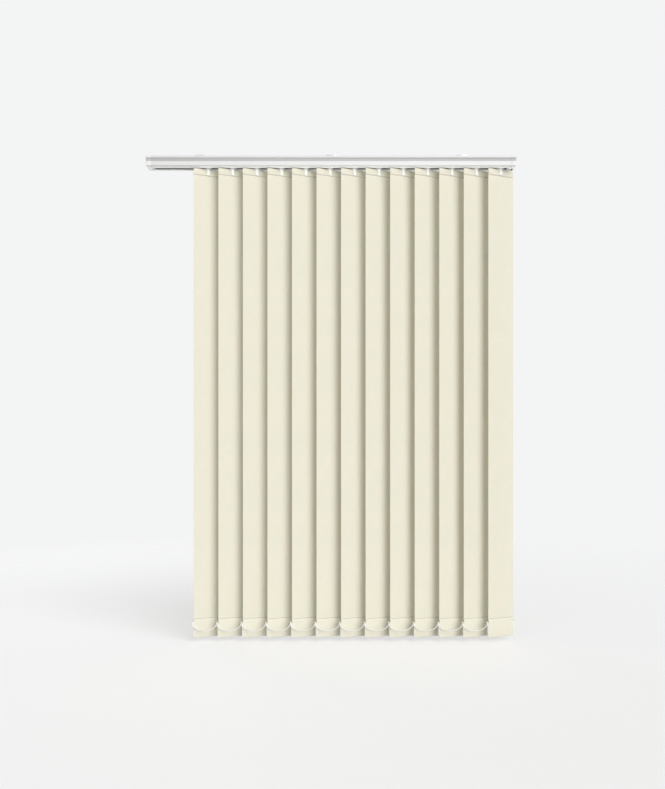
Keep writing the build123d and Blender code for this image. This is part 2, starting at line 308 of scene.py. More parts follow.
def moulded_plastic(name, colour, roughness, grain=900):
    """Moulded plastic with a fine spark-eroded grain and a little unevenness in its gloss."""
    finish = Finish(name, colour, roughness, Subsurface_Weight=0.08, Subsurface_Scale=0.002)
    cloudy = finish.noise((60, 60, 60), detail=3)
    finish.shade(cloudy, 0.4, 0.8, 0.4, 0.94)
    finish.vary_roughness(cloudy, roughness - 0.06, roughness + 0.08)
    finish.add_bump(finish.noise((grain, grain, grain), detail=1), 0.15, 0.00005)
    return finish.material


def cap_plastic(name, colour):
    """The end caps' plastic, matched to the rail's coating, with the same bands of painted shade."""
    finish = Finish(name, colour, 0.42)
    cloudy = finish.noise((60, 60, 60), detail=3)
    finish.shade(cloudy, 0.4, 0.8, 0.4, 0.95)
    # The rail's bands of painted shade, carried across the caps
    finish.paint_shade_bands()
    finish.vary_roughness(cloudy, 0.36, 0.5)
    finish.add_bump(finish.noise((900, 900, 900), detail=1), 0.15, 0.00005)
    return finish.material


def plated_metal(name, colour, stretch):
    """Bare metal with drawn or rolled lines along the piece and dull spots."""
    finish = Finish(name, colour, 0.34, 1.0)
    lines = finish.noise(stretch, detail=3)
    spots = finish.noise((90, 90, 90), detail=4)
    finish.shade(spots, 0.5, 0.8, 0.6, 0.8)
    finish.vary_roughness(lines, 0.26, 0.46)
    finish.add_bump(lines, 0.2, 0.00004)
    return finish.material


def woven_cloth(name, colour, weave, seams):
    """Stiffened plain weave on the cloth's own map, in metres: warp, weft, slubs, mottling, cut edges and a
    painted shade line along each seam.
    """
    finish = Finish(name, colour, 0.82, Sheen_Weight=0.12, Sheen_Roughness=0.5)
    threads = []
    for direction in ("X", "Y"):
        wave = finish.nodes.new("ShaderNodeTexWave")
        wave.wave_type = "BANDS"
        wave.bands_direction = direction
        wave.inputs["Scale"].default_value = pi / (10 * weave)
        wave.inputs["Distortion"].default_value = 0.6
        wave.inputs["Detail"].default_value = 1.0
        finish.links.new(finish.coordinates((1, 1, 1), "UV"), wave.inputs["Vector"])
        threads.append(wave.outputs["Fac"])
    weave_height = finish.math("MAXIMUM", threads[0], finish.math("MULTIPLY", threads[1], 0.85))
    slubs_across = finish.noise((55, 1100, 1), "UV", detail=3)
    slubs_down = finish.noise((1100, 40, 1), "UV", detail=3)
    mottle = finish.noise((26, 17, 1), "UV", detail=6, roughness=0.62)
    pale = [min(1, c * f) for c, f in zip(colour, (1.05, 1.0, 1.03))]
    finish.tint(finish.map_range(mottle, 0.45, 0.66, 0, 0.95), pale)
    streaks = finish.noise((42, 5, 1), "UV", detail=4, roughness=0.6)
    warm = [c * f for c, f in zip(colour, (1.035, 0.985, 0.985))]
    finish.tint(finish.map_range(streaks, 0.5, 0.68, 0, 0.9), warm)
    finish.shade(slubs_across, 0.5, 0.72, 0.6, 0.92)
    finish.shade(slubs_down, 0.55, 0.78, 0.4, 0.95)
    split = finish.nodes.new("ShaderNodeSeparateXYZ")
    finish.links.new(finish.coordinates((1, 1, 1), "UV"), split.inputs[0])
    across = finish.math("ABSOLUTE", split.outputs["X"], 0)
    finish.shade(across, VANE_WIDTH / 2 - FRAYED_EDGE, VANE_WIDTH / 2, 0.7, 0.88)
    # A painted shade line along each seam, standing in for the shade in the seam's dimple
    for seam in seams:
        away = finish.math("ABSOLUTE", finish.math("SUBTRACT", split.outputs["Y"], seam), 0)
        painted_seam_shade = finish.map_range(away, SEAM_HALF, 1.8 * SEAM_HALF, 0.85, 0)
        finish.tint(painted_seam_shade, [c * 0.62 for c in colour])
    finish.add_bump(weave_height, 0.22, 0.00012)
    finish.add_bump(finish.math("ADD", slubs_across, slubs_down), 0.25, 0.0002)
    return finish.material


def floor_material(name, colour):
    """A matt floor that fades out into the sky behind it, with a faint unevenness."""
    finish = Finish(name, colour, 0.9)
    cloudy = finish.noise((3, 3, 3), detail=3)
    finish.shade(cloudy, 0.3, 0.7, 0.5, 0.985)
    texture = finish.nodes.new("ShaderNodeTexCoord")
    distance = finish.nodes.new("ShaderNodeVectorMath")
    distance.operation = "DISTANCE"
    distance.inputs[1].default_value = (0, 0, FLOOR_Z)
    finish.links.new(texture.outputs["Object"], distance.inputs[0])
    fade = finish.map_range(distance.outputs["Value"], *FLOOR_FADE, 1, 0)
    finish.links.new(fade, finish.shader.inputs["Alpha"])
    finish.shader.inputs["Emission Color"].default_value = (1, 1, 1, 1)
    path = finish.nodes.new("ShaderNodeLightPath")
    lift = finish.math("MULTIPLY", path.outputs["Is Camera Ray"], FLOOR_LIFT)
    finish.links.new(lift, finish.shader.inputs["Emission Strength"])
    return finish.material


# Geometry Nodes trees, and the cloth that one of them hangs

class Tree:
    """A Geometry Nodes tree with named inputs, which ends in Realize Instances and Set Material."""

    def __init__(self, name, inputs):
        self.tree = bpy.data.node_groups.new(name, "GeometryNodeTree")
        interface = self.tree.interface
        interface.new_socket(name="Geometry", in_out="INPUT", socket_type="NodeSocketGeometry")
        for label, (kind, default) in inputs.items():
            socket = interface.new_socket(name=label, in_out="INPUT", socket_type=f"NodeSocket{kind}")
            if default is not None:
                socket.default_value = default
        interface.new_socket(name="Geometry", in_out="OUTPUT", socket_type="NodeSocketGeometry")
        self.start = self.tree.nodes.new("NodeGroupInput")
        self.links = self.tree.links

    def add(self, kind, settings=None, **sockets):
        """Adds a node, sets its properties, and fills its inputs with values or with other nodes' outputs."""
        node = self.tree.nodes.new(kind)
        for name, value in (settings or {}).items():
            setattr(node, name, value)
        for name, value in sockets.items():
            key = int(name[1:]) if name[1:].isdigit() else name.replace("_", " ")
            socket = node.inputs[key]
            if isinstance(value, bpy.types.NodeSocket):
                self.links.new(value, socket)
            else:
                socket.default_value = value
        return node

    def math(self, operation, a, b=0.0):
        return self.add("ShaderNodeMath", {"operation": operation}, i0=a, i1=b).outputs[0]

    def vector(self, x=0.0, y=0.0, z=0.0):
        return self.add("ShaderNodeCombineXYZ", X=x, Y=y, Z=z).outputs[0]

    def finish(self, geometry):
        real = self.add("GeometryNodeRealizeInstances", Geometry=geometry)
        material = self.add("GeometryNodeSetMaterial", Geometry=real.outputs[0],
                            Material=self.start.outputs["Material"])
        end = self.tree.nodes.new("NodeGroupOutput")
        self.links.new(material.outputs[0], end.inputs[0])

    def run(self, name, mesh, values):
        """One plain mesh object made by the tree from a mesh, with its inputs set by identifier."""
        obj = place_in_scene(bpy.data.objects.new(name, mesh))
        modifier = obj.modifiers.new(self.tree.name, "NODES")
        modifier.node_group = self.tree
        for item in self.tree.interface.items_tree:
            if item.in_out == "INPUT" and item.name in values:
                modifier[item.identifier] = values[item.name]
        return plain_mesh(obj, name, values["Material"])


def near(height, *points):
    """Points of the cloth's path, given in millimetres as (depth, how far above the height)."""
    return [(depth * MM, height + above * MM) for depth, above in points]


def cloth_path():
    """The cloth's middle line across a vane, as (depth, height) pairs: depth is towards the back."""
    # Up the back from the top pocket's loose edge, over the fold and down the front to the seam
    pegs = (PEG_Z - PEG_HALF[1], PEG_Z + PEG_HALF[1])
    fold_z = VANE_TOP - FOLD_INSET - FOLD_HALF
    path = near(TOP_SEAM, (0.55, -3), (0.5, 0), (0.62, 1.2), (0.95, 3), (FOLD_HALF / MM, 4.5))
    path += [(FOLD_HALF, height) for height in pegs]
    path += [(FOLD_HALF * cos(pi * i / 8), fold_z + FOLD_HALF * sin(pi * i / 8)) for i in range(9)]
    path += [(-FOLD_HALF, height) for height in reversed(pegs)]
    path += near(TOP_SEAM, (-FOLD_HALF / MM, 4.5), (-0.9, 3), (-0.25, 1.2), (0.1, 0), (0, -1.2))
    # Down to the hem's seam
    rows = 48
    path += [(0, TOP_SEAM + (HEM_SEAM - TOP_SEAM) * i / rows) for i in range(1, rows)]
    path += near(HEM_SEAM, (0, 1.2), (0.1, 0), (-0.3, -1.2), (-1.3, -3.2), (-HEM_HALF / MM, -5))
    # Down the hem's front, round its fold and up its back to the other loose edge
    hem_middle = VANE_BOTTOM + 25 * MM
    path.append((-HEM_HALF, hem_middle))
    inset = HEM_HALF - HEM_CORNER
    level = VANE_BOTTOM + FOLD_INSET + HEM_CORNER
    for i in range(5):
        a = pi / 8 * i
        path.append((-inset - HEM_CORNER * cos(a), level - HEM_CORNER * sin(a)))
    for i in range(5):
        a = pi / 8 * i
        path.append((inset + HEM_CORNER * sin(a), level - HEM_CORNER * cos(a)))
    path.append((HEM_HALF, hem_middle))
    path += near(HEM_SEAM, (HEM_HALF / MM, -5), (1.4, -3.2), (0.75, -1.2), (0.5, 0), (0.55, 3))
    return path


def cloth_mesh(name, thickness):
    """One vane's cloth at the origin: a folded strip with a thickness, a map in metres and peg holes."""
    path = cloth_path()
    half = VANE_WIDTH / 2
    columns = [-half, -half + 0.3 * MM, -38 * MM, -30 * MM, -22 * MM, -14 * MM, -7 * MM, -PEG_HALF[0]]
    columns += [-c for c in reversed(columns)]
    lengths = [0.0]
    for (y0, z0), (y1, z1) in zip(path, path[1:]):
        lengths.append(lengths[-1] + ((y1 - y0) ** 2 + (z1 - z0) ** 2) ** 0.5)
    normals = []
    for i in range(len(path)):
        y0, z0 = path[max(i - 1, 0)]
        y1, z1 = path[min(i + 1, len(path) - 1)]
        along = Vector((0, y1 - y0, z1 - z0)).normalized()
        normals.append(Vector((0, along.z, -along.y)))
    bm = bmesh.new()
    uv_layer = bm.loops.layers.uv.new("UVMap")
    sides = []
    for sign in (-1, 1):
        grid = []
        for (y, z), normal in zip(path, normals):
            shift = normal * (sign * thickness / 2)
            grid.append([bm.verts.new((x, y + shift.y, z + shift.z)) for x in columns])
        sides.append(grid)
    places = {}
    for grid in sides:
        for row, verts in enumerate(grid):
            for column, vert in enumerate(verts):
                places[vert] = (columns[column], lengths[row])

    def is_hole(row, column):
        if not (0 <= row < len(path) - 1 and 0 <= column < len(columns) - 1):
            return True
        x = (columns[column] + columns[column + 1]) / 2
        z = (path[row][1] + path[row + 1][1]) / 2
        return abs(x) < PEG_HALF[0] and abs(z - PEG_Z) < 0.1 * MM and abs(path[row][0]) > 0.5 * MM

    def face(*verts):
        made = bm.faces.new(verts)
        for loop in made.loops:
            loop[uv_layer].uv = places[loop.vert]
        return made

    inner, outer = sides
    for row in range(len(path) - 1):
        for column in range(len(columns) - 1):
            if is_hole(row, column):
                continue
            corners = [(row, column), (row, column + 1), (row + 1, column + 1), (row + 1, column)]
            face(*[outer[r][c] for r, c in corners])
            face(*[inner[r][c] for r, c in reversed(corners)])
            beyond = [(row - 1, column), (row, column + 1), (row + 1, column), (row, column - 1)]
            for (a, b), neighbour in zip(zip(corners, corners[1:] + corners[:1]), beyond):
                if is_hole(*neighbour):
                    face(outer[b[0]][b[1]], outer[a[0]][a[1]], inner[a[0]][a[1]], inner[b[0]][b[1]])
    bmesh.ops.recalc_face_normals(bm, faces=bm.faces)
    mesh = bpy.data.meshes.new(name)
    bm.to_mesh(mesh)
    bm.free()
    smooth(mesh, 50)
    seams = [length for (depth, height), length in zip(path, lengths) if height in (TOP_SEAM, HEM_SEAM)]
    return mesh, lengths[-1], seams


def hanging_tree():
    """The tree that hangs one cloth under the rail: it cups and ripples between its seams."""
    t = Tree("Hung vane", {
        "Cup depth": ("Float", CUP_DEPTH), "Ripple depth": ("Float", RIPPLE_DEPTH),
        "Ripple seed": ("Float", 0.0), "Width": ("Float", VANE_WIDTH), "Turn": ("Float", VANE_TURN),
        "Place": ("Float", 0.0), "Material": ("Material", None)})
    given = t.start.outputs
    where = t.add("GeometryNodeInputPosition").outputs[0]
    split = t.add("ShaderNodeSeparateXYZ", Vector=where).outputs
    share = t.math("DIVIDE", split[0], t.math("MULTIPLY", given["Width"], 0.5))
    cup = t.math("MULTIPLY", given["Cup depth"], t.math("SUBTRACT", 1.0, t.math("POWER", share, 2.0)))
    stretched = t.vector(t.math("MULTIPLY", split[0], RIPPLE_SCALE[0]), 0.0,
                         t.math("MULTIPLY", split[2], RIPPLE_SCALE[1]))
    noise = t.add("ShaderNodeTexNoise", {"noise_dimensions": "4D"}, Vector=stretched, W=given["Ripple seed"],
                  Scale=1.0, Detail=1.0)
    ripple = t.math("MULTIPLY", t.math("SUBTRACT", noise.outputs[0], 0.5),
                    t.math("MULTIPLY", given["Ripple depth"], 2.0))
    upper, lower = (
        t.add("ShaderNodeMapRange", {"interpolation_type": "SMOOTHSTEP"}, Value=split[2],
              From_Min=seam + way * FLAT_NEAR_SEAM, From_Max=seam + way * FREE_FROM_SEAM,
              To_Min=0.0, To_Max=1.0)
        for seam, way in ((TOP_SEAM, -1), (HEM_SEAM, 1)))
    free = t.math("MULTIPLY", upper.outputs[0], lower.outputs[0])
    bend = t.vector(0.0, t.math("MULTIPLY", free, t.math("ADD", cup, ripple)), 0.0)
    bent = t.add("GeometryNodeSetPosition", Geometry=given["Geometry"], Offset=bend)
    turned = t.add("GeometryNodeTransform", Geometry=bent.outputs[0], Translation=t.vector(given["Place"]),
                   Rotation=t.vector(0.0, 0.0, given["Turn"]))
    t.finish(turned.outputs[0])
    return t


def stitch_tree():
    """The tree that sews one row of stitches on each side of both seams of a vane."""
    t = Tree("Seam stitches", {
        "Stitch length": ("Float", STITCH_LENGTH), "Stitch gap": ("Float", STITCH_GAP),
        "Thread": ("Float", THREAD), "Row length": ("Float", STITCH_ROW), "Turn": ("Float", VANE_TURN),
        "Place": ("Float", 0.0), "Material": ("Material", None)})
    given = t.start.outputs
    step = t.math("ADD", given["Stitch length"], given["Stitch gap"])
    count = t.math("FLOOR", t.math("DIVIDE", given["Row length"], step))
    first = t.math("MULTIPLY", t.math("MULTIPLY", t.math("SUBTRACT", count, 1.0), step), -0.5)
    ball = t.add("GeometryNodeMeshIcoSphere", Radius=1.0, Subdivisions=2)
    long = t.add("GeometryNodeTransform", Geometry=ball.outputs[0], Scale=t.vector(
        t.math("MULTIPLY", given["Stitch length"], 0.5), t.math("MULTIPLY", given["Thread"], 0.5),
        t.math("MULTIPLY", given["Thread"], 0.5)))
    joined = t.add("GeometryNodeJoinGeometry")
    for depth, height in [(depth, seam) for seam in (TOP_SEAM, HEM_SEAM) for depth in STITCH_DEPTHS]:
        row = t.add("GeometryNodeMeshLine", Count=count, Start_Location=t.vector(first, depth, height),
                    Offset=t.vector(step))
        sewn = t.add("GeometryNodeInstanceOnPoints", Points=row.outputs[0], Instance=long.outputs[0])
        t.links.new(sewn.outputs[0], joined.inputs[0])
    turned = t.add("GeometryNodeTransform", Geometry=joined.outputs[0], Translation=t.vector(given["Place"]),
                   Rotation=t.vector(0.0, 0.0, given["Turn"]))
    t.finish(turned.outputs[0])
    return t


def chain_tree():
    """The tree that hangs a bead chain in swags from a row of clips. Its geometry is one clip's arm."""
    t = Tree("Bead chain", {
        "Swags": ("Int", VANE_COUNT - 1), "Span": ("Float", VANE_PITCH), "Sag": ("Float", CHAIN_SAG),
        "Bead diameter": ("Float", BEAD_DIAMETER), "Beads per swag": ("Int", BEADS_PER_SWAG),
        "Line diameter": ("Float", CHAIN_LINE), "First clip": ("Vector", (0, 0, 0)),
        "Reach": ("Float", CHAIN_REACH), "Material": ("Material", None)})
    given = t.start.outputs
    straight = t.add("GeometryNodeCurvePrimitiveLine", End=(1, 0, 0))
    fine = t.add("GeometryNodeResampleCurve", Curve=straight.outputs[0], Count=41)
    share = t.add("GeometryNodeSplineParameter").outputs["Factor"]
    angle = t.math("MULTIPLY", share, pi)
    half = t.math("MULTIPLY", given["Span"], 0.5)
    x = t.math("SUBTRACT", half, t.math("MULTIPLY", half, t.math("COSINE", angle)))
    z = t.math("MULTIPLY", given["Sag"], t.math("MULTIPLY", t.math("SINE", angle), -1.0))
    swag = t.add("GeometryNodeSetPosition", Geometry=fine.outputs[0], Position=t.vector(x, given["Reach"], z))
    ring = t.add("GeometryNodeCurvePrimitiveCircle", Resolution=6,
                 Radius=t.math("MULTIPLY", given["Line diameter"], 0.5))
    line = t.add("GeometryNodeCurveToMesh", Curve=swag.outputs[0], Profile_Curve=ring.outputs[0],
                 Fill_Caps=True)
    spaced = t.add("GeometryNodeResampleCurve", Curve=swag.outputs[0],
                   Count=t.math("ADD", given["Beads per swag"], 1.0))
    beads_at = t.add("GeometryNodeCurveToPoints", {"mode": "EVALUATED"}, Curve=spaced.outputs[0])
    bead = t.add("GeometryNodeMeshIcoSphere", Radius=t.math("MULTIPLY", given["Bead diameter"], 0.5),
                 Subdivisions=2)
    beads = t.add("GeometryNodeInstanceOnPoints", Points=beads_at.outputs[0], Instance=bead.outputs[0])
    one = t.add("GeometryNodeJoinGeometry")
    for made in (beads, line):
        t.links.new(made.outputs[0], one.inputs[0])
    smoothed = t.add("GeometryNodeSetShadeSmooth", Geometry=one.outputs[0])
    swags_at = t.add("GeometryNodeMeshLine", Count=given["Swags"], Offset=t.vector(given["Span"]))
    swags = t.add("GeometryNodeInstanceOnPoints", Points=swags_at.outputs[0], Instance=smoothed.outputs[0])
    clips_at = t.add("GeometryNodeMeshLine", Count=t.math("ADD", given["Swags"], 1.0),
                     Offset=t.vector(given["Span"]))
    clips = t.add("GeometryNodeInstanceOnPoints", Points=clips_at.outputs[0], Instance=given["Geometry"])
    whole = t.add("GeometryNodeJoinGeometry")
    for made in (clips, swags):
        t.links.new(made.outputs[0], whole.inputs[0])
    moved = t.add("GeometryNodeTransform", Geometry=whole.outputs[0], Translation=given["First clip"])
    t.finish(moved.outputs[0])
    return t


# Sizes and colours that a user would change

class BlindSizes(bpy.types.PropertyGroup):
    cup_depth: bpy.props.FloatProperty(
        name="Cup depth", description="How far a vane's middle bows back, or to the front if negative",
        default=CUP_DEPTH, unit="LENGTH")
    ripple_depth: bpy.props.FloatProperty(
        name="Ripple depth", description="Unevenness of a vane between its seams", default=RIPPLE_DEPTH,
        unit="LENGTH")
    cloth_thickness: bpy.props.FloatProperty(
        name="Cloth thickness", description="Thickness of the vanes' cloth", default=0.5 * MM, unit="LENGTH")
    weave: bpy.props.FloatProperty(
        name="Weave", description="Distance from one thread of the cloth to the next", default=0.6 * MM,
        unit="LENGTH")
    stitch_length: bpy.props.FloatProperty(
        name="Stitch length", description="Length of one stitch in the seams", default=STITCH_LENGTH,
        unit="LENGTH")
    stitch_gap: bpy.props.FloatProperty(
        name="Stitch gap", description="Gap between two stitches", default=STITCH_GAP, unit="LENGTH")
    thread: bpy.props.FloatProperty(
        name="Thread", description="Thickness of the sewing thread", default=THREAD, unit="LENGTH")
    bead_diameter: bpy.props.FloatProperty(
        name="Bead diameter", description="Diameter of the beads of the linking chains",
        default=BEAD_DIAMETER, unit="LENGTH")
    beads_per_swag: bpy.props.IntProperty(
        name="Beads per swag", description="Number of beads between two vanes", default=BEADS_PER_SWAG, min=2)
    chain_sag: bpy.props.FloatProperty(
        name="Chain sag", description="How far a linking chain hangs down between two vanes",
        default=CHAIN_SAG, unit="LENGTH")
    edge_round: bpy.props.FloatProperty(
        name="Edge round", description="Rounding of moulded edges", default=0.3 * MM, unit="LENGTH")


class BlindColours(bpy.types.PropertyGroup):
    cloth: bpy.props.FloatVectorProperty(
        name="Cloth", description="Colour of the vanes", subtype="COLOR", default=(0.84, 0.822, 0.678))
    thread: bpy.props.FloatVectorProperty(
        name="Thread", description="Colour of the stitches", subtype="COLOR", default=(0.62, 0.59, 0.48))
    rail: bpy.props.FloatVectorProperty(
        name="Rail", description="Colour of the headrail's coating", subtype="COLOR",
        default=(0.87, 0.87, 0.86))
    caps: bpy.props.FloatVectorProperty(
        name="Caps", description="Colour of the end caps", subtype="COLOR", default=(0.88, 0.88, 0.865))
    fittings: bpy.props.FloatVectorProperty(
        name="Fittings", description="Colour of hangers, weights and chains", subtype="COLOR",
        default=(0.97, 0.97, 0.955))
    carriers: bpy.props.FloatVectorProperty(
        name="Carriers", description="Colour of the carriers inside the rail", subtype="COLOR",
        default=(0.93, 0.93, 0.91))
    floor: bpy.props.FloatVectorProperty(
        name="Floor", description="Colour of the floor", subtype="COLOR", default=(0.55, 0.55, 0.55))


class BlindLights(bpy.types.PropertyGroup):
    key: bpy.props.FloatProperty(
        name="Key lamp", description="Strength of the broad even light from the right", default=2.03)
    key_spread: bpy.props.FloatProperty(
        name="Key spread", description="How broad the key light is, as an angle", default=radians(52),
        subtype="ANGLE")
    fill: bpy.props.FloatProperty(
        name="Fill lamp", description="Power of the soft lamp on the left", default=14.0, unit="POWER")
    rear: bpy.props.FloatProperty(
        name="Rear lamp", description="Power of the soft lamp behind, on the left", default=16.0,
        unit="POWER")
    bounce: bpy.props.FloatProperty(
        name="Bounce lamp", description="Power of the light thrown up on the fittings and the rail",
        default=5.0, unit="POWER")
    sky: bpy.props.FloatProperty(
        name="Sky", description="Strength of the light from all round", default=0.42)


def sizes():
    return bpy.context.scene.blind_sizes


def colours():
    return bpy.context.scene.blind_colours


def shared(name, make, *values):
    """The material of that name, made on first use."""
    found = bpy.data.materials.get(name)
    return found or make(name, *values)


def fittings_plastic():
    return shared("white_moulded_plastic", moulded_plastic, colours().fittings, 0.32)


def dress(piece, body):
    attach(piece, body)
    return piece


def wear(node, material):
    """Gives a CAD node that stays its material."""
    mesh = frame["nodes"][node].data
    mesh.materials.clear()
    mesh.materials.append(material)


# One operator for each piece or group of like pieces

class DressRail(bpy.types.Operator):
    """Dresses the headrail and its end caps and brackets"""
    bl_idname = "blind.dress_rail"
    bl_label = "Headrail, caps and brackets"

    def execute(self, context):
        coating = shared("white_powder_coat", coated_metal, colours().rail)
        caps = shared("satin_cap_plastic", cap_plastic, colours().caps)
        zinc = shared("zinc_plated_steel", plated_metal, ZINC, (30, 600, 600))
        rail = softened_copy("headrail", "coated_headrail", coating, 0.15 * MM)
        dress(rail, "rail")
        for node in ("plain_end_cap", "control_end_cap"):
            cap = softened_copy(node, f"satin_{node}", caps, sizes().edge_round)
            dress(cap, "rail")
        brackets = softened_copy("mounting_brackets", "zinc_brackets", zinc, 0.2 * MM)
        dress(brackets, "rail")
        return {"FINISHED"}


class DressMechanism(bpy.types.Operator):
    """Gives the rod, the wheel and the carriers inside the rail their finishes"""
    bl_idname = "blind.dress_mechanism"
    bl_label = "Rod, wheel and carriers"

    def execute(self, context):
        drawn = shared("drawn_aluminium", plated_metal, ALUMINIUM, (8, 900, 900))
        moulded = shared("carrier_plastic_skin", moulded_plastic, colours().carriers, 0.45)
        wear("tilt_rod", drawn)
        wear("chain_wheel", moulded)
        for number in NUMBERS:
            wear(f"carrier_{number}", moulded)
        return {"FINISHED"}


class MakeHangers(bpy.types.Operator):
    """Makes the glossy hangers that hold the vanes"""
    bl_idname = "blind.make_hangers"
    bl_label = "Hangers"

    def execute(self, context):
        for number in NUMBERS:
            hanger = softened_copy(f"hanger_{number}", f"moulded_hanger_{number}", fittings_plastic(),
                                   sizes().edge_round)
            dress(hanger, f"blade_{number}")
        return {"FINISHED"}


class MakeVanes(bpy.types.Operator):
    """Hangs the folded cloth of each vane"""
    bl_idname = "blind.make_vanes"
    bl_label = "Cloth vanes"

    def execute(self, context):
        pattern, length, seams = cloth_mesh("vane_pattern", sizes().cloth_thickness)
        cloth = shared("cream_woven_cloth", woven_cloth, colours().cloth, sizes().weave, seams)
        tree = hanging_tree()
        for index, (number, place) in enumerate(zip(NUMBERS, PLACES)):
            vane = tree.run(f"cloth_vane_{number}", pattern, {
                "Cup depth": sizes().cup_depth, "Ripple depth": sizes().ripple_depth,
                "Ripple seed": SEED_STEP * index, "Place": place, "Material": cloth})
            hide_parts(f"vane_{number}")
            dress(vane, f"blade_{number}")
        return {"FINISHED"}


class SewSeams(bpy.types.Operator):
    """Sews the seams of the vanes' two pockets"""
    bl_idname = "blind.sew_seams"
    bl_label = "Seam stitches"

    def execute(self, context):
        thread = shared("sewing_thread", moulded_plastic, colours().thread, 0.6, 3000)
        tree = stitch_tree()
        for number, place in zip(NUMBERS, PLACES):
            sewn = tree.run(f"seam_stitches_{number}", bpy.data.meshes.new("no_stitches"), {
                "Stitch length": sizes().stitch_length, "Stitch gap": sizes().stitch_gap,
                "Thread": sizes().thread, "Place": place, "Material": thread})
            sewn.data.shade_smooth()
            dress(sewn, f"blade_{number}")
        return {"FINISHED"}


class MakeWeights(bpy.types.Operator):
    """Makes the moulded weights in the hems, with their lugs"""
    bl_idname = "blind.make_weights"
    bl_label = "Hem weights"

    def execute(self, context):
        for number in NUMBERS:
            weight = softened_copy(f"weight_{number}", f"moulded_weight_{number}", fittings_plastic(),
                                   sizes().edge_round)
            dress(weight, f"blade_{number}")
        return {"FINISHED"}


def clip_mesh(bm, name):
    """A mesh of a clip's part, with outward faces and slightly rounded edges."""
    bmesh.ops.recalc_face_normals(bm, faces=bm.faces)
    bmesh.ops.bevel(bm, geom=[e for e in bm.edges if e.calc_face_angle(0) > radians(50)], offset=CLIP_ROUND,
                    segments=2, profile=0.5, affect="EDGES", clamp_overlap=True)
    mesh = bpy.data.meshes.new(name)
    bm.to_mesh(mesh)
    bm.free()
    smooth(mesh)
    return mesh


def ring_mesh():
    """A clip's ring at the origin, which goes over a lug's post."""
    bm = bmesh.new()
    for level in (0, CLIP_THICKNESS):
        for radius in (CLIP_RING, CLIP_HOLE):
            for i in range(CLIP_SIDES):
                a = 2 * pi * i / CLIP_SIDES
                bm.verts.new((radius * sin(a), radius * cos(a), level))
    bm.verts.ensure_lookup_table()
    outer_low, inner_low, outer_high, inner_high = (
        [bm.verts[k * CLIP_SIDES + i] for i in range(CLIP_SIDES)] for k in range(4))
    for i in range(CLIP_SIDES):
        j = (i + 1) % CLIP_SIDES
        for a, b in ((outer_low, inner_low), (outer_high, inner_high), (outer_low, outer_high),
                     (inner_low, inner_high)):
            bm.faces.new((a[i], b[i], b[j], a[j]))
    return clip_mesh(bm, "clip_ring")


def arm_mesh(name, side, reach):
    """A clip's arm at the origin, from its ring to the chain, which lies along +Y or -Y."""
    bm = bmesh.new()
    start, end = side * (CLIP_RING + ARM_GAP), side * (reach + ARM_END)
    for vert in bmesh.ops.create_cube(bm, size=1.0)["verts"]:
        vert.co = Vector((vert.co.x * ARM_WIDTH, start + (vert.co.y + 0.5) * (end - start),
                          CLIP_THICKNESS / 2 + vert.co.z * ARM_HEIGHT))
    return clip_mesh(bm, name)


class MakeClips(bpy.types.Operator):
    """Makes the clips' rings, which sit on the weights' lugs"""
    bl_idname = "blind.make_clips"
    bl_label = "Clip rings"

    def execute(self, context):
        ring = ring_mesh()
        for number, place in zip(NUMBERS, PLACES):
            bm = bmesh.new()
            for side in (-1, 1):
                first = len(bm.verts)
                bm.from_mesh(ring)
                bm.verts.ensure_lookup_table()
                bmesh.ops.translate(bm, verts=bm.verts[first:],
                                    vec=(place + side * LUG[0], side * LUG[1], CLIP_Z))
            rings = new_mesh_object(f"clip_rings_{number}", bm)
            rings.data.materials.append(fittings_plastic())
            dress(rings, f"blade_{number}")
        return {"FINISHED"}


class MakeChains(bpy.types.Operator):
    """Hangs the bead chains that link the weights along the front and the rear"""
    bl_idname = "blind.make_chains"
    bl_label = "Linking chains"

    def execute(self, context):
        tree = chain_tree()
        plastic = fittings_plastic()
        for name, side, body in (("front", -1, "front_link"), ("rear", 1, "rear_link")):
            chain = tree.run(f"bead_chain_{name}", arm_mesh(f"clip_arm_{name}", side, CHAIN_REACH), {
                "Sag": sizes().chain_sag, "Bead diameter": sizes().bead_diameter,
                "Beads per swag": sizes().beads_per_swag, "Reach": side * CHAIN_REACH,
                "First clip": (PLACES[0] + side * LUG[0], side * LUG[1], CLIP_Z), "Material": plastic})
            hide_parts(f"{name}_chain")
            dress(chain, body)
            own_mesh(chain)
        return {"FINISHED"}


def add_lamp(name, kind, energy, place, target, **settings):
    """A lamp at a place, turned to a target, that the camera doesn't see."""
    lamp = bpy.data.lights.new(name, kind)
    lamp.energy = energy
    for setting, value in settings.items():
        setattr(lamp, setting, value)
    lamp_object = place_in_scene(bpy.data.objects.new(name, lamp))
    lamp_object.location = place
    lamp_object.rotation_euler = (target - lamp_object.location).to_track_quat("-Z", "Y").to_euler()
    lamp_object.visible_camera = False
    return lamp_object


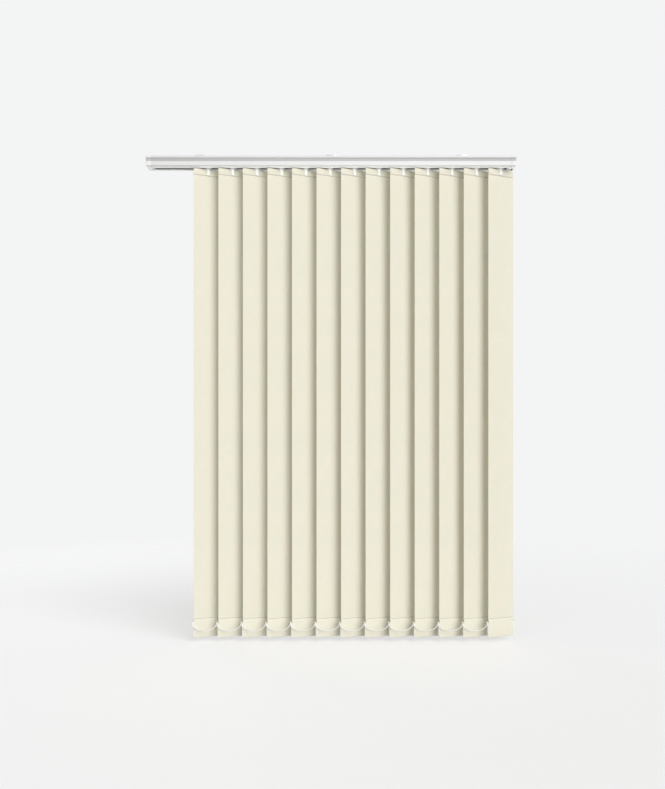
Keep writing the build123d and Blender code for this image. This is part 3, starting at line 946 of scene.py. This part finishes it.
class MakeStage(bpy.types.Operator):
    """Sets up the floor, the lamps, the sky and the camera"""
    bl_idname = "blind.make_stage"
    bl_label = "Stage"

    def execute(self, context):
        scene = context.scene
        lights = scene.blind_lights
        scene.view_settings.view_transform = "Standard"

        bm = bmesh.new()
        bmesh.ops.create_circle(bm, cap_ends=True, segments=96, radius=FLOOR_RADIUS)
        floor = new_mesh_object("studio_floor", bm)
        floor.data.transform(Matrix.Translation((0, 0, FLOOR_Z)))
        floor.data.materials.append(floor_material("pale_floor", colours().floor))

        world = bpy.data.worlds.new("pale_room")
        scene.world = world
        world.use_nodes = True
        nodes, links = world.node_tree.nodes, world.node_tree.links
        sky = nodes["Background"]
        sky.inputs["Color"].default_value = (1, 1, 1, 1)
        sky.inputs["Strength"].default_value = lights.sky
        seen = nodes.new("ShaderNodeBackground")
        seen.inputs["Color"].default_value = (*BACKDROP, 1)
        seen.inputs["Strength"].default_value = 1.0
        path = nodes.new("ShaderNodeLightPath")
        either = nodes.new("ShaderNodeMath")
        either.operation = "MAXIMUM"
        links.new(path.outputs["Is Camera Ray"], either.inputs[0])
        links.new(path.outputs["Is Glossy Ray"], either.inputs[1])
        mix = nodes.new("ShaderNodeMixShader")
        links.new(either.outputs[0], mix.inputs[0])
        links.new(sky.outputs[0], mix.inputs[1])
        links.new(seen.outputs[0], mix.inputs[2])
        links.new(mix.outputs[0], nodes["World Output"].inputs["Surface"])

        add_lamp("key_lamp", "SUN", lights.key, KEY_PLACE, AIM, angle=lights.key_spread)
        add_lamp("fill_lamp", "AREA", lights.fill, FILL_PLACE, AIM, size=2.0)
        add_lamp("rear_lamp", "AREA", lights.rear, REAR_PLACE, AIM, size=1.6)
        straight_up = BOUNCE_PLACE + Vector((0, 0, 1))
        bounce = add_lamp("bounce_lamp", "AREA", lights.bounce, BOUNCE_PLACE, straight_up,
                          shape="RECTANGLE", size=1.6, size_y=0.5, spread=radians(100))
        # The bounce lights the fittings and the rail alone, because the cloth is bright enough
        hard_pieces = bpy.data.collections.new("hard_pieces")
        for piece in scene.objects:
            if piece.type == "MESH" and not piece.name.startswith(("cloth", "seam", "studio")):
                hard_pieces.objects.link(piece)
        bounce.light_linking.receiver_collection = hard_pieces

        camera = bpy.data.cameras.new("photo_camera")
        camera.lens = 34.1
        camera.shift_x = 0.0018
        camera.shift_y = 0.0729
        camera.clip_end = 50
        camera_object = place_in_scene(bpy.data.objects.new("photo_camera", camera))
        camera_object.location = CAMERA_PLACE
        camera_object.rotation_euler = (radians(90), 0, 0)
        scene.camera = camera_object
        return {"FINISHED"}


class BlindPanel(bpy.types.Panel):
    """Lists the blind's operators"""
    bl_idname = "VIEW3D_PT_vertical_blind"
    bl_label = "Vertical blind"
    bl_space_type = "VIEW_3D"
    bl_region_type = "UI"
    bl_category = "Blind"

    def draw(self, context):
        scene = context.scene
        for group in (scene.blind_sizes, scene.blind_colours, scene.blind_lights):
            box = self.layout.box()
            for name in group.__annotations__:
                box.prop(group, name)
        for operator in OPERATORS:
            self.layout.operator(operator.bl_idname)


GROUPS = {"blind_sizes": BlindSizes, "blind_colours": BlindColours, "blind_lights": BlindLights}
OPERATORS = (DressRail, DressMechanism, MakeHangers, MakeVanes, SewSeams, MakeWeights, MakeClips, MakeChains,
             MakeStage)


def register():
    for made in (*GROUPS.values(), *OPERATORS, BlindPanel):
        bpy.utils.register_class(made)
    for name, group in GROUPS.items():
        setattr(bpy.types.Scene, name, bpy.props.PointerProperty(type=group))


def unregister():
    for name in GROUPS:
        delattr(bpy.types.Scene, name)
    for made in (BlindPanel, *reversed(OPERATORS), *reversed(tuple(GROUPS.values()))):
        bpy.utils.unregister_class(made)


def main():
    register()
    bpy.ops.blind.dress_rail()
    bpy.ops.blind.dress_mechanism()
    bpy.ops.blind.make_hangers()
    bpy.ops.blind.make_vanes()
    bpy.ops.blind.sew_seams()
    bpy.ops.blind.make_weights()
    bpy.ops.blind.make_clips()
    bpy.ops.blind.make_chains()
    bpy.ops.blind.make_stage()


if __name__ == "__main__":
    main()
